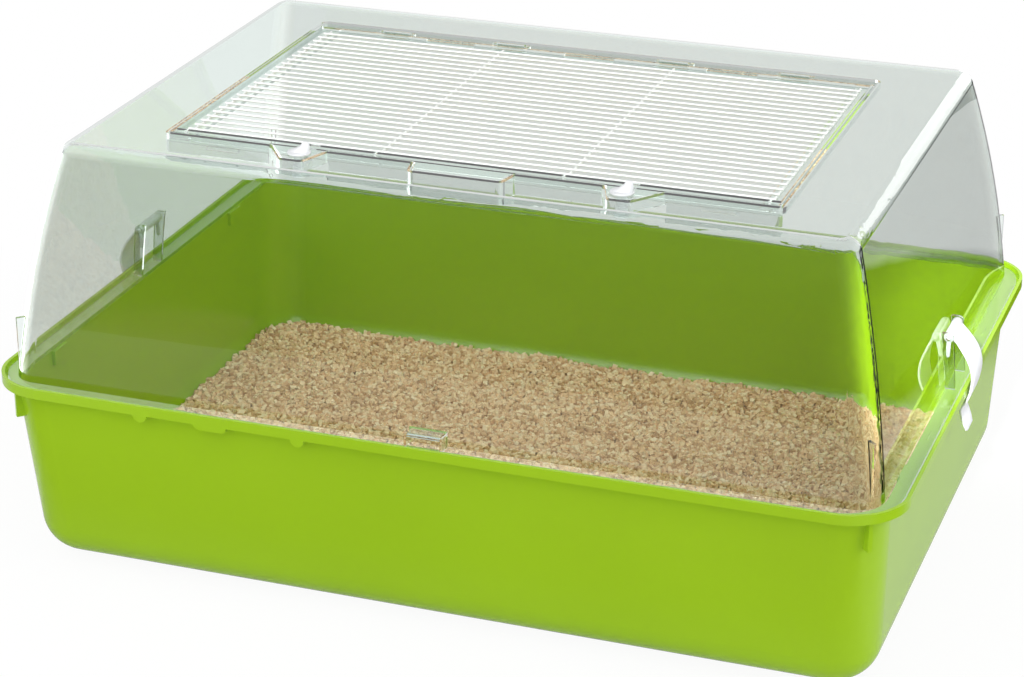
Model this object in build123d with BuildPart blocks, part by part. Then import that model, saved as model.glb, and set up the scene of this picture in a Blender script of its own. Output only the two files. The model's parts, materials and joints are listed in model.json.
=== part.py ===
from build123d import *
import math
import os

# Small animal cage: a deep plastic tray, a clear hood that lifts off it, a wire-filled
# door hinged in the hood's top, two turning latches and two side clips.
# Millimetres, +X along the length, -Y to the front, +Z up, origin under the tray's centre.

# Tray
tray_length = 530.0
tray_width = 389.0
tray_depth = 116.5
tray_draft_side = 4.5
tray_draft_front = 16.0
tray_corner = 28.0
tray_bottom_radius = 25.0
tray_wall = 2.2
floor_thickness = 2.5
ledge_side = 10.0
ledge_front = 6.1
ledge_thickness = 1.7
lip_height = 6.0
lip_wall = 2.0
rim_corner = 36.0

# Low ribs on the ledge that the hood's flange rests on
rest_rib_radius = 0.9
rest_rib_proud = 0.3
rest_rib_length = 12.0
rest_rib_spacing_long = 300.0
rest_rib_spacing_short = 160.0

# Foot ring under the tray
foot_inset_side = 31.5
foot_inset_front = 20.0
foot_height = 3.0
foot_width = 4.0
foot_corner = 19.0
foot_root = 1.5

# Small features of the tray
tray_fin_reach = 2.8
tray_fin_thickness = 2.5
tray_fin_height = 19.5
lug_width = 16.0
lug_height = 9.0
lug_proud = 2.0
lug_spacing = 252.0
bump_radius = 4.3
bump_places = (-170.5, -71.2)
tab_length = 20.5
tab_drop = 3.2
tab_place = -125.8

# Bedding on the tray's floor
bedding_depth = 12.5
bedding_gap = 1.0
swell_height = 1.1
swell_pitch_x = 61.0
swell_pitch_y = 53.0
swell_cells = 3
swell_samples = 8

# Hood
hood_height = 143.0
hood_wall = 2.0
hood_taper_side = 26.65
hood_taper_front = 28.4
hood_bulge = 3.4
hood_corner_low = 16.0
hood_corner_top = 12.0
hood_edge_radius = 9.0
flange_gap = 1.8
flange_width = 8.55
flange_thickness = 2.2
hood_fin_reach = 15.0
hood_fin_thickness = 2.0
hood_fin_height = 38.0

# Loop at the front of the hood's flange
loop_place = 4.0
loop_length = 23.0
loop_height = 9.0
loop_depth = 8.0
loop_wall = 1.5

# Door opening in the hood's top
opening_length = 370.6
opening_depth = 235.2
opening_shift = -0.4
opening_corner = 3.0
curb_wall = 1.8
curb_drop_front = 13.2
curb_drop_latch = 8.0
curb_drop = 6.0
handle_bay_length = 60.0
handle_bay_front = 54.5
handle_bay_depth = 14.0
latch_bay_depth = 19.5
latch_bay_inner = 13.0
latch_bay_outer = 21.5
latch_bay_front_inner = 5.5
latch_bay_front_outer = 7.5
stop_spacing = 300.0
stop_length = 20.0
stop_reach = 3.5
stop_thickness = 2.0
stop_gap = 0.2

# Door frame
door_gap = 1.0
rail_front_depth = 7.2
rail_front_height = 7.5
rail_plate = 1.8
rail_rear_depth = 6.5
rail_rear_thickness = 2.2
rail_rear_gap = 0.5
rail_rear_lap = 0.2
side_ledge = 12.0
side_ledge_thickness = 2.0
side_upstand = 1.5
door_drop = 2.85
slot_length = 33.0
slot_width = 2.4
slot_spacing = 94.0

# Hinge of the door
hinge_back = 3.0
hinge_drop = 3.3
hinge_bar_radius = 1.4
hinge_clearance = 0.05
hinge_ring_wall = 1.15
hinge_tabs = ((-133.5, 18.0), (-54.7, 19.0), (54.7, 19.0), (133.5, 18.0))
hinge_side_gap = 0.4
hinge_web = 2.5
hinge_slot = 2.3
hinge_boss_wall = 0.5

# Wire grille
wire_diameter = 1.5
wire_pitch = 8.38
wire_count = 25
wire_front_gap = 6.4
wire_side_gap = 6.1
wire_weld = 0.1
wire_clearance = 0.2
cross_inner = 57.0
cross_end_gap = 1.6
cross_tip = 1.0

# Turning latches
latch_spacing = 194.0
latch_ahead = 10.4
axle_diameter = 6.0
axle_clearance = 0.05
knob_gap = 0.1
knob_diameter = 14.0
knob_thickness = 1.5
fin_length = 13.0
fin_width = 7.5
fin_top_length = 4.5
fin_top_width = 3.4
fin_height = 5.6
fin_lean_x = 3.5
fin_lean_y = 2.0
cam_thickness = 3.7
cam_gap = 0.5
cam_width = 5.0
cam_reach = 12.5
cam_hub = 7.2
key_size = 3.6

# Side clips and the brackets that carry them
clip_pivot_height = 34.0
clip_pivot_out = 3.7
clip_barrel = 6.4
clip_pin = 2.6
clip_pin_clearance = 0.05
clip_strap = 1.8
clip_rim_gap = 0.5
clip_bulge = 3.0
clip_shoulder_in = 3.1
clip_shoulder_drop = 8.9
clip_width = 28.0
clip_tab_width = 19.0
clip_tab_drop = 30.5
cheek_thickness = 2.0
cheek_gap = 0.4
cheek_spacing = 28.0
cheek_foot = 6.0
finger_width = 2.2
finger_depth = 2.6
finger_length = 13.0

# Heights and sizes that follow
ledge_bottom = foot_height + tray_depth
ledge_top_height = ledge_bottom + ledge_thickness
seat_height = ledge_top_height + rest_rib_proud
rim_top = ledge_bottom + lip_height
rim_length = tray_length + 2 * ledge_side
rim_width = tray_width + 2 * ledge_front
flange_top = seat_height + flange_thickness
hood_top = seat_height + hood_height
plate_bottom = hood_top - hood_wall
flange_length = rim_length - 2 * lip_wall - 2 * flange_gap
flange_breadth = rim_width - 2 * lip_wall - 2 * flange_gap
flange_corner = rim_corner - lip_wall - flange_gap
hood_length = flange_length - 2 * flange_width
hood_width = flange_breadth - 2 * flange_width

os.makedirs("parts", exist_ok=True)


def tray_section(height, inset):
    """Length and width of the tray's body at a height, drawn in by an inset."""
    share = (ledge_bottom - height) / tray_depth
    length = tray_length - 2 * tray_draft_side * share - 2 * inset
    width = tray_width - 2 * tray_draft_front * share - 2 * inset
    return length, width


def hood_section(height, inset):
    """Length, width and corner radius of the hood's wall at a height, drawn in by an inset."""
    share = (height - seat_height) / hood_height
    swell = 4 * hood_bulge * share * (1 - share)
    length = hood_length - 2 * hood_taper_side * share + 2 * swell - 2 * inset
    width = hood_width - 2 * hood_taper_front * share + 2 * swell - 2 * inset
    corner = hood_corner_low + (hood_corner_top - hood_corner_low) * share - inset
    return length, width, corner


# Inside of the tray
cavity_floor = foot_height + floor_thickness
cavity_corner = tray_corner - tray_wall
with BuildPart() as tray_inside:
    with BuildSketch(Plane.XY.offset(cavity_floor)):
        RectangleRounded(*tray_section(cavity_floor, tray_wall), cavity_corner)
    with BuildSketch(Plane.XY.offset(ledge_bottom)):
        RectangleRounded(*tray_section(ledge_bottom, tray_wall), cavity_corner)
    loft(ruled=True)
    fillet(tray_inside.faces().sort_by(Axis.Z)[0].edges(), tray_bottom_radius - tray_wall)
    with BuildSketch(Plane.XY.offset(ledge_bottom)):
        RectangleRounded(*tray_section(ledge_bottom, tray_wall), cavity_corner)
    extrude(amount=lip_height)

# Tray with its rim channel, foot ring, corner fins and inner lugs
with BuildPart() as tray:
    with BuildSketch(Plane.XY.offset(foot_height)):
        RectangleRounded(*tray_section(foot_height, 0), tray_corner)
    with BuildSketch(Plane.XY.offset(ledge_bottom)):
        RectangleRounded(tray_length, tray_width, tray_corner)
    loft(ruled=True)
    fillet(tray.faces().sort_by(Axis.Z)[0].edges(), tray_bottom_radius)
    with BuildSketch(Plane.XY.offset(ledge_bottom)):
        RectangleRounded(rim_length, rim_width, rim_corner)
    extrude(amount=lip_height)
    with BuildSketch(Plane.XY.offset(ledge_top_height)):
        RectangleRounded(rim_length - 2 * lip_wall, rim_width - 2 * lip_wall, rim_corner - lip_wall)
    extrude(amount=lip_height, mode=Mode.SUBTRACT)
    rib_x = (hood_length + flange_width) / 2
    rib_y = (hood_width + flange_width) / 2
    for side in (-1, 1):
        for place in (-rest_rib_spacing_long / 2, rest_rib_spacing_long / 2):
            with Locations(Location((place, side * rib_y, seat_height - rest_rib_radius), (0, 90, 0))):
                Cylinder(rest_rib_radius, rest_rib_length)
        for place in (-rest_rib_spacing_short / 2, rest_rib_spacing_short / 2):
            with Locations(Location((side * rib_x, place, seat_height - rest_rib_radius), (90, 0, 0))):
                Cylinder(rest_rib_radius, rest_rib_length)
    for side_x in (-1, 1):
        for side_y in (-1, 1):
            corner_x = side_x * (tray_length / 2 - tray_corner)
            corner_y = side_y * (tray_width / 2 - tray_corner)
            with BuildSketch(Plane.XY.offset(ledge_bottom - tray_fin_height)):
                with Locations(Location((corner_x, corner_y), 45 * side_x * side_y)):
                    reach = tray_corner + tray_fin_reach
                    with Locations((side_x * reach / 2, 0)):
                        Rectangle(reach, tray_fin_thickness)
            extrude(amount=tray_fin_height + ledge_thickness / 2)
    foot_length = tray_section(foot_height, foot_inset_side)[0]
    foot_breadth = tray_section(foot_height, foot_inset_front)[1]
    with BuildSketch(Plane.XY):
        RectangleRounded(foot_length, foot_breadth, foot_corner)
        RectangleRounded(
            foot_length - 2 * foot_width,
            foot_breadth - 2 * foot_width,
            foot_corner - foot_width,
            mode=Mode.SUBTRACT,
        )
    extrude(amount=foot_height + foot_root)
    add(tray_inside.part, mode=Mode.SUBTRACT)
    lug_top = ledge_bottom
    lug_x = tray_section(lug_top - lug_height, tray_wall)[0] / 2
    for side_x in (-1, 1):
        for side_y in (-1, 1):
            with BuildSketch(Plane.XY.offset(lug_top - lug_height)):
                with Locations((side_x * lug_x, side_y * lug_spacing / 2)):
                    Rectangle(2 * lug_proud, lug_width)
            extrude(amount=lug_height)
    front_skin = Plane.XZ.offset(rim_width / 2)
    with BuildSketch(front_skin):
        with Locations(*[(place, ledge_bottom) for place in bump_places]):
            Circle(bump_radius)
        with Locations((tab_place, ledge_bottom)):
            SlotOverall(tab_length, 2 * tab_drop)
    extrude(amount=-lip_wall)
tray.part.label = "tray"
export_step(tray.part, "parts/tray.step")


def bedding_top(x, y):
    """Height of the bedding's gently uneven surface."""
    broad = math.sin(2 * math.pi * x / swell_pitch_x) * math.sin(2 * math.pi * y / swell_pitch_y)
    slow = math.sin(2 * math.pi * x / (swell_cells * swell_pitch_x) + y / swell_pitch_y)
    return cavity_floor + bedding_depth + swell_height * (broad + slow) / 2


# Bedding: a gently uneven layer that fills the tray's floor
bedding_reach_x = tray_section(ledge_bottom, 0)[0] / 2
bedding_reach_y = tray_section(ledge_bottom, 0)[1] / 2
columns = round(2 * swell_samples * bedding_reach_x / swell_pitch_x)
rows = round(2 * swell_samples * bedding_reach_y / swell_pitch_y)
surface_points = []
for column in range(columns + 1):
    x = bedding_reach_x * (2 * column / columns - 1)
    across = [bedding_reach_y * (2 * row / rows - 1) for row in range(rows + 1)]
    surface_points.append([(x, y, bedding_top(x, y)) for y in across])
surface = Face.make_surface_from_array_of_points(surface_points)
above_bedding = extrude(surface, amount=ledge_bottom, dir=(0, 0, 1))

with BuildPart() as bedding_layer:
    low = cavity_floor
    high = cavity_floor + bedding_depth + 2 * swell_height
    inset = tray_wall + bedding_gap
    fill_corner = tray_corner - inset
    with BuildSketch(Plane.XY.offset(low)):
        RectangleRounded(*tray_section(low, inset), fill_corner)
    with BuildSketch(Plane.XY.offset(ledge_bottom)):
        RectangleRounded(*tray_section(ledge_bottom, inset), fill_corner)
    loft(ruled=True)
    fill_radius = tray_bottom_radius - inset + bedding_gap / 2
    fillet(bedding_layer.faces().sort_by(Axis.Z)[0].edges(), fill_radius)
    split(bisect_by=Plane.XY.offset(high), keep=Keep.BOTTOM)
    add(above_bedding, mode=Mode.SUBTRACT)
bedding_layer.part.label = "bedding_layer"
export_step(bedding_layer.part, "parts/bedding_layer.step")


def opening_outline(grow):
    """Door opening in plan with its handle bay and latch bays, grown all round."""
    front = opening_shift - opening_depth / 2
    with BuildSketch() as outline:
        with Locations((0, opening_shift)):
            Rectangle(opening_length, opening_depth)
        Polygon(
            (-handle_bay_length / 2, front + opening_corner),
            (-handle_bay_length / 2, front),
            (-handle_bay_front / 2, front - handle_bay_depth),
            (handle_bay_front / 2, front - handle_bay_depth),
            (handle_bay_length / 2, front),
            (handle_bay_length / 2, front + opening_corner),
            align=None,
        )
        for side in (-1, 1):
            middle = side * latch_spacing / 2
            Polygon(
                (middle - side * latch_bay_inner, front + opening_corner),
                (middle - side * latch_bay_inner, front),
                (middle - side * latch_bay_front_inner, front - latch_bay_depth),
                (middle + side * latch_bay_front_outer, front - latch_bay_depth),
                (middle + side * latch_bay_outer, front),
                (middle + side * latch_bay_outer, front + opening_corner),
                align=None,
            )
        fillet(outline.vertices(), opening_corner)
        if grow:
            offset(amount=grow)
    return outline.sketch


opening_front = opening_shift - opening_depth / 2
opening_rear = opening_shift + opening_depth / 2
hinge_y = opening_rear - hinge_back
hinge_z = hood_top - hinge_drop
latch_y = opening_front + door_gap - latch_ahead
cam_top = hood_top - curb_drop_latch - cam_gap
cam_bottom = cam_top - cam_thickness
clip_z = seat_height + clip_pivot_height
clip_x = hood_section(clip_z, 0)[0] / 2 + clip_pivot_out

# Inside of the hood
hood_middle = seat_height + hood_height / 2
with BuildPart() as hood_inside:
    for height in (seat_height, hood_middle, hood_top):
        length, width, corner = hood_section(height, hood_wall)
        with BuildSketch(Plane.XY.offset(height)):
            RectangleRounded(length, width, corner)
    loft()
    split(bisect_by=Plane.XY.offset(plate_bottom), keep=Keep.BOTTOM)
    fillet(hood_inside.faces().sort_by(Axis.Z)[-1].edges(), hood_edge_radius - hood_wall)

# Hood with its flange, door opening, hinge bars, corner fins and clip brackets
with BuildPart() as hood:
    for height in (seat_height, hood_middle, hood_top):
        length, width, corner = hood_section(height, 0)
        with BuildSketch(Plane.XY.offset(height)):
            RectangleRounded(length, width, corner)
    loft()
    fillet(hood.faces().sort_by(Axis.Z)[-1].edges(), hood_edge_radius)
    with BuildSketch(Plane.XY.offset(seat_height)):
        RectangleRounded(flange_length, flange_breadth, flange_corner)
    extrude(amount=flange_thickness)
    for side_x in (-1, 1):
        for side_y in (-1, 1):
            corner_x = side_x * (hood_length / 2 - hood_corner_low)
            corner_y = side_y * (hood_width / 2 - hood_corner_low)
            with BuildSketch(Plane.XY.offset(seat_height)):
                with Locations(Location((corner_x, corner_y), 45 * side_x * side_y)):
                    with Locations((side_x * hood_fin_reach / 2, 0)):
                        Rectangle(hood_fin_reach, hood_fin_thickness)
            extrude(amount=hood_fin_height + flange_thickness)
    cheek_x = clip_x + clip_barrel / 2
    cheek_low = hood_section(flange_top, 0)[0] / 2 + cheek_foot
    cheek_root = hood_section(clip_z, hood_wall)[0] / 2
    for side_x in (-1, 1):
        for side_y in (-1, 1):
            cheek_y = side_y * cheek_spacing / 2
            with BuildSketch(Plane.XZ.offset(-cheek_y + cheek_thickness / 2)):
                Polygon(
                    (side_x * cheek_root, seat_height),
                    (side_x * cheek_low, seat_height),
                    (side_x * cheek_x, clip_z),
                    (side_x * cheek_root, clip_z),
                    align=None,
                )
                with Locations((side_x * clip_x, clip_z)):
                    Circle(clip_barrel / 2)
                with Locations((side_x * (cheek_root + clip_x) / 2, clip_z)):
                    Rectangle(clip_x - cheek_root, clip_barrel)
            extrude(amount=-cheek_thickness)
        with Locations(Location((side_x * clip_x, 0, clip_z), (90, 0, 0))):
            Cylinder(
                clip_pin / 2 + clip_pin_clearance,
                2 * cheek_spacing,
                mode=Mode.SUBTRACT,
            )
    loop_y = -(hood_width + loop_depth) / 2
    loop_inner = loop_length - 2 * loop_wall
    loop_rise = loop_height - loop_wall
    with Locations((loop_place, loop_y + hood_wall / 2, flange_top + loop_height / 2)):
        Box(loop_length, loop_depth + hood_wall, loop_height)
    add(hood_inside.part, mode=Mode.SUBTRACT)
    with Locations((loop_place, loop_y + loop_wall / 2, flange_top + loop_rise / 2)):
        Box(loop_inner, loop_depth - loop_wall, loop_rise, mode=Mode.SUBTRACT)
    with Locations((loop_place, loop_y - (loop_depth - loop_wall) / 2, flange_top + loop_rise / 2)):
        Box(loop_inner, loop_depth, loop_rise - loop_wall, mode=Mode.SUBTRACT)
    with BuildSketch(Plane.XY.offset(hood_top - curb_drop)):
        add(opening_outline(curb_wall))
    extrude(amount=curb_drop - hood_wall / 2)
    with BuildSketch(Plane.XY.offset(hood_top - curb_drop_latch)):
        add(opening_outline(curb_wall))
        with Locations((0, opening_front + opening_depth)):
            Rectangle(2 * opening_length, 2 * opening_depth, mode=Mode.SUBTRACT)
    extrude(amount=curb_drop_latch - hood_wall / 2)
    with BuildSketch(Plane.XY.offset(hood_top - curb_drop_front)):
        add(opening_outline(curb_wall))
        with Locations((0, opening_front + opening_depth)):
            Rectangle(2 * opening_length, 2 * opening_depth, mode=Mode.SUBTRACT)
        bay_span = latch_bay_inner + latch_bay_outer + 2 * curb_wall
        bay_centre = latch_spacing / 2 + (latch_bay_outer - latch_bay_inner) / 2
        with Locations((-bay_centre, opening_front), (bay_centre, opening_front)):
            Rectangle(bay_span, 3 * latch_bay_depth, mode=Mode.SUBTRACT)
    extrude(amount=curb_drop_front - hood_wall / 2)
    with BuildSketch(Plane.XY.offset(hood_top - curb_drop_front)):
        add(opening_outline(0))
    extrude(amount=2 * curb_drop_front, mode=Mode.SUBTRACT)
    stop_z = hood_top - rail_front_height - stop_gap - stop_thickness / 2
    stop_y = opening_front + (stop_reach - curb_wall) / 2
    for side_x in (-1, 1):
        with Locations((side_x * stop_spacing / 2, stop_y, stop_z)):
            Box(stop_length, stop_reach + curb_wall, stop_thickness)
    for tab_x, tab_width in hinge_tabs:
        for side in (-1, 1):
            web_x = tab_x + side * (tab_width / 2 + hinge_side_gap + hinge_web / 2)
            with BuildSketch(Plane.YZ.offset(web_x - hinge_web / 2)):
                with Locations((hinge_y, hinge_z)):
                    Circle(hinge_bar_radius + hinge_boss_wall)
                with Locations(((hinge_y + opening_rear + curb_wall) / 2, hinge_z)):
                    Rectangle(hinge_back + curb_wall, 2 * hinge_bar_radius)
            extrude(amount=hinge_web)
        with Locations(Location((tab_x, hinge_y, hinge_z), (0, 90, 0))):
            Cylinder(hinge_bar_radius, tab_width + 2 * hinge_side_gap + hinge_web)
hood.part.label = "hood"
export_step(hood.part, "parts/hood.step")

# Door frame: channelled front rail with handle and ears, side ledges, hinged rear rail
door_half = opening_length / 2 - door_gap
door_front = opening_front + door_gap
rail_back = door_front + rail_front_depth
wire_z = hood_top - door_drop + wire_diameter / 2 + wire_weld
cross_z = wire_z - wire_diameter + wire_weld
ledge_top = cross_z - wire_diameter / 2 - wire_weld
notch_top = cross_z + wire_diameter / 2 + wire_clearance
rear_front = hinge_y - hinge_bar_radius - hinge_clearance - rail_rear_depth
rear_bottom = ledge_top - rail_rear_lap
rear_end = rear_front + rail_rear_depth - rail_rear_gap
ring_radius = hinge_bar_radius + hinge_clearance + hinge_ring_wall
wire_half = door_half - wire_side_gap
cross_outer = wire_half - cross_end_gap
cross_places = (-cross_outer, -cross_inner, cross_inner, cross_outer)
with BuildPart() as door_frame:
    with BuildSketch(Plane.XY.offset(hood_top - rail_plate)):
        add(opening_outline(-door_gap))
        with Locations((0, rail_back + opening_depth)):
            Rectangle(2 * opening_length, 2 * opening_depth, mode=Mode.SUBTRACT)
    extrude(amount=rail_plate)
    with Locations((0, door_front + rail_plate / 2, hood_top - rail_front_height / 2)):
        Box(2 * door_half, rail_plate, rail_front_height)
    with Locations((0, rail_back - rail_plate / 2, hood_top - rail_front_height / 2)):
        Box(2 * door_half, rail_plate, rail_front_height)
    side_depth = rear_end - door_front
    for side_x in (-1, 1):
        with Locations(
            (
                side_x * (door_half - side_ledge / 2),
                door_front + side_depth / 2,
                ledge_top - side_ledge_thickness / 2,
            )
        ):
            Box(side_ledge, side_depth, side_ledge_thickness)
        upstand_height = hood_top - ledge_top + side_ledge_thickness
        upstand_depth = side_depth - ring_radius * 2
        with Locations(
            (
                side_x * (door_half - side_upstand / 2),
                door_front + upstand_depth / 2,
                hood_top - upstand_height / 2,
            )
        ):
            Box(side_upstand, upstand_depth, upstand_height)
    rear_y = (rear_front + rear_end) / 2
    with Locations((0, rear_y, rear_bottom + rail_rear_thickness / 2)):
        Box(2 * door_half, rear_end - rear_front, rail_rear_thickness)
    for place in (-slot_spacing, 0, slot_spacing):
        with Locations((place, rear_y, rear_bottom)):
            Box(slot_length, slot_width, 4 * rail_rear_thickness, mode=Mode.SUBTRACT)
    for place in cross_places:
        with Locations((place, rail_back - rail_plate / 2, (notch_top + ledge_top) / 2)):
            Box(
                wire_diameter + 2 * wire_clearance,
                2 * rail_plate,
                notch_top - ledge_top,
                mode=Mode.SUBTRACT,
            )
    for side_x in (-1, 1):
        with Locations((side_x * latch_spacing / 2, latch_y, hood_top)):
            Cylinder(axle_diameter / 2 + axle_clearance, 4 * rail_plate, mode=Mode.SUBTRACT)
    for tab_x, tab_width in hinge_tabs:
        with BuildSketch(Plane.YZ.offset(tab_x - tab_width / 2)):
            with Locations((hinge_y, hinge_z)):
                Circle(ring_radius)
        extrude(amount=tab_width)
        with Locations(Location((tab_x, hinge_y, hinge_z), (0, 90, 0))):
            Cylinder(hinge_bar_radius + hinge_clearance, 2 * tab_width, mode=Mode.SUBTRACT)
        with Locations((tab_x, hinge_y, hinge_z - ring_radius)):
            Box(2 * tab_width, hinge_slot, 2 * ring_radius, mode=Mode.SUBTRACT)
door_frame.part.label = "door_frame"
export_step(door_frame.part, "parts/door_frame.step")

# Wire grille: long wires welded on cross wires
wire_first = rail_back + wire_front_gap
cross_front = rail_back - rail_plate - cross_tip
cross_back = rear_front - wire_clearance
with BuildPart() as wire_grille:
    for place in cross_places:
        with BuildSketch(Plane.XZ.offset(-cross_front)):
            with Locations((place, cross_z)):
                Circle(wire_diameter / 2)
        extrude(amount=cross_front - cross_back)
    for index in range(wire_count):
        with Locations(Location((0, wire_first + index * wire_pitch, wire_z), (0, 90, 0))):
            Cylinder(wire_diameter / 2, 2 * wire_half)
wire_grille.part.label = "wire_grille"
export_step(wire_grille.part, "parts/wire_grille.step")

# Turning latches: a knob with its axle on top, a cam under the hood's top plate
knob_bottom = hood_top + knob_gap
for side_name, side_x in (("left", -1), ("right", 1)):
    latch_x = side_x * latch_spacing / 2
    with BuildPart() as latch_knob:
        with BuildSketch(Plane.XY.offset(knob_bottom)):
            with Locations((latch_x, latch_y)):
                Circle(knob_diameter / 2)
        extrude(amount=knob_thickness)
        with BuildSketch(Plane.XY.offset(knob_bottom + knob_thickness)):
            with Locations((latch_x, latch_y)):
                Ellipse(fin_length / 2, fin_width / 2)
        with BuildSketch(Plane.XY.offset(knob_bottom + knob_thickness + fin_height)):
            with Locations((latch_x + fin_lean_x, latch_y + fin_lean_y)):
                Ellipse(fin_top_length / 2, fin_top_width / 2)
        loft()
        with BuildSketch(Plane.XY.offset(cam_top)):
            with Locations((latch_x, latch_y)):
                Circle(axle_diameter / 2)
        extrude(amount=knob_bottom - cam_top)
        with BuildSketch(Plane.XY.offset(cam_bottom)):
            with Locations((latch_x, latch_y)):
                Rectangle(key_size, key_size)
        extrude(amount=cam_thickness)
    latch_knob.part.label = "latch_knob_" + side_name
    export_step(latch_knob.part, "parts/latch_knob_" + side_name + ".step")

    with BuildPart() as latch_cam:
        with BuildSketch(Plane.XY.offset(cam_bottom)):
            with Locations((latch_x, latch_y)):
                Circle(cam_hub / 2)
            with Locations((latch_x, latch_y + cam_reach / 2)):
                Rectangle(cam_width, cam_reach)
            with Locations((latch_x, latch_y)):
                Rectangle(key_size, key_size, mode=Mode.SUBTRACT)
        extrude(amount=cam_thickness)
    latch_cam.part.label = "latch_cam_" + side_name
    export_step(latch_cam.part, "parts/latch_cam_" + side_name + ".step")

# Side clips: a pin barrel in the bracket, a bowed strap over the rim and a thumb tab
barrel_width = cheek_spacing - cheek_thickness - 2 * cheek_gap
rim_x = rim_length / 2
strap_out = clip_strap + clip_rim_gap
for side_name, side_x in (("left", -1), ("right", 1)):
    with BuildPart() as side_clip:
        with BuildSketch(Plane.XZ.offset(clip_width / 2)):
            with BuildLine():
                top = (side_x * clip_x, clip_z + (clip_barrel - clip_strap) / 2)
                shoulder = (side_x * (rim_x - clip_shoulder_in), clip_z - clip_shoulder_drop)
                bulge = (side_x * (rim_x + clip_bulge), rim_top + lip_height)
                waist = (side_x * (rim_x + strap_out), ledge_bottom - lip_height / 2)
                tip = (side_x * (rim_x + clip_bulge), rim_top - clip_tab_drop)
                bow = ThreePointArc(top, shoulder, bulge)
                TangentArc(bulge, waist, tangent=bow % 1)
                Line(waist, tip)
            trace(line_width=clip_strap)
        extrude(amount=-clip_width)
        with BuildSketch(Plane.YZ.offset(side_x * clip_x - 2 * clip_x)):
            Polygon(
                (-clip_tab_width / 2, rim_top - 2 * clip_tab_drop),
                (clip_tab_width / 2, rim_top - 2 * clip_tab_drop),
                (clip_tab_width / 2, rim_top - clip_tab_drop),
                (clip_width / 2, rim_top),
                (clip_width / 2, clip_z - clip_barrel),
                (barrel_width / 2, clip_z - clip_barrel / 2),
                (barrel_width / 2, clip_z + clip_barrel),
                (-barrel_width / 2, clip_z + clip_barrel),
                (-barrel_width / 2, clip_z - clip_barrel / 2),
                (-clip_width / 2, clip_z - clip_barrel),
                (-clip_width / 2, rim_top),
                (-clip_tab_width / 2, rim_top - clip_tab_drop),
                align=None,
            )
        extrude(amount=4 * clip_x, mode=Mode.INTERSECT)
        with Locations(Location((side_x * clip_x, 0, clip_z), (90, 0, 0))):
            Cylinder(clip_barrel / 2, barrel_width)
            Cylinder(clip_pin / 2, cheek_spacing + cheek_thickness)
        for side_y in (-1, 1):
            finger_y = side_y * (barrel_width - finger_width) / 2
            with Locations((side_x * clip_x, finger_y, clip_z - finger_length / 2)):
                Box(finger_depth, finger_width, finger_length)
    side_clip.part.label = "side_clip_" + side_name
    export_step(side_clip.part, "parts/side_clip_" + side_name + ".step")
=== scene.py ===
import json
import math
import random
from functools import partial

import bpy
from bpy.props import FloatProperty, FloatVectorProperty, IntProperty, PointerProperty
from bpy.types import Operator, Panel, PropertyGroup
from mathutils import Euler, Matrix, Vector

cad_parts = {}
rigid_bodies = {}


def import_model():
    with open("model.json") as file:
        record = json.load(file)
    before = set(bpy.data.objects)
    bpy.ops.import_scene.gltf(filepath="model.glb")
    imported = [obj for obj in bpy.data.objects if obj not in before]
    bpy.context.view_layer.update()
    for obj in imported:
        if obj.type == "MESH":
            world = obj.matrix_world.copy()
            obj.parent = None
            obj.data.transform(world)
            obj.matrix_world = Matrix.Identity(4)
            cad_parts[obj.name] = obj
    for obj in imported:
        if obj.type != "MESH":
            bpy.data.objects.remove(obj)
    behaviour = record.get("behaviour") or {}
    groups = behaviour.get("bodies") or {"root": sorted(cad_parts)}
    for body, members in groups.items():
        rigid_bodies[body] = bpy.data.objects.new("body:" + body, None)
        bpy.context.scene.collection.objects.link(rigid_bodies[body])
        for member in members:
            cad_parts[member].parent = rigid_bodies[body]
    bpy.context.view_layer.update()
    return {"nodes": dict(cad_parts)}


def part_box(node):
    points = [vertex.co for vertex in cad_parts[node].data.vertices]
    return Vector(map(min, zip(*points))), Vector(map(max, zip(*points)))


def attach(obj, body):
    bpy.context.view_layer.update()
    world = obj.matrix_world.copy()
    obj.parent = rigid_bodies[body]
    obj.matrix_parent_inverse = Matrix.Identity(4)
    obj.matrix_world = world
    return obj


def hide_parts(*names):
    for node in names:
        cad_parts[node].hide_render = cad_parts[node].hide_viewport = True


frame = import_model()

bl_info = {
    "name": "Small animal cage",
    "version": (1, 0, 0),
    "blender": (4, 5, 0),
    "location": "3D View > Sidebar > Cage",
    "description": "Finishes a small animal cage, with its bedding, clips and latches",
    "category": "Object",
}

MM = 0.001
SIDES = (("left", -1), ("right", 1))
RIGHT, AHEAD, UP = Vector((1, 0, 0)), Vector((0, 1, 0)), Vector((0, 0, 1))
WHITE = (1.0, 1.0, 1.0, 1.0)


# ---------------------------------------------------------------- settings

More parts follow.
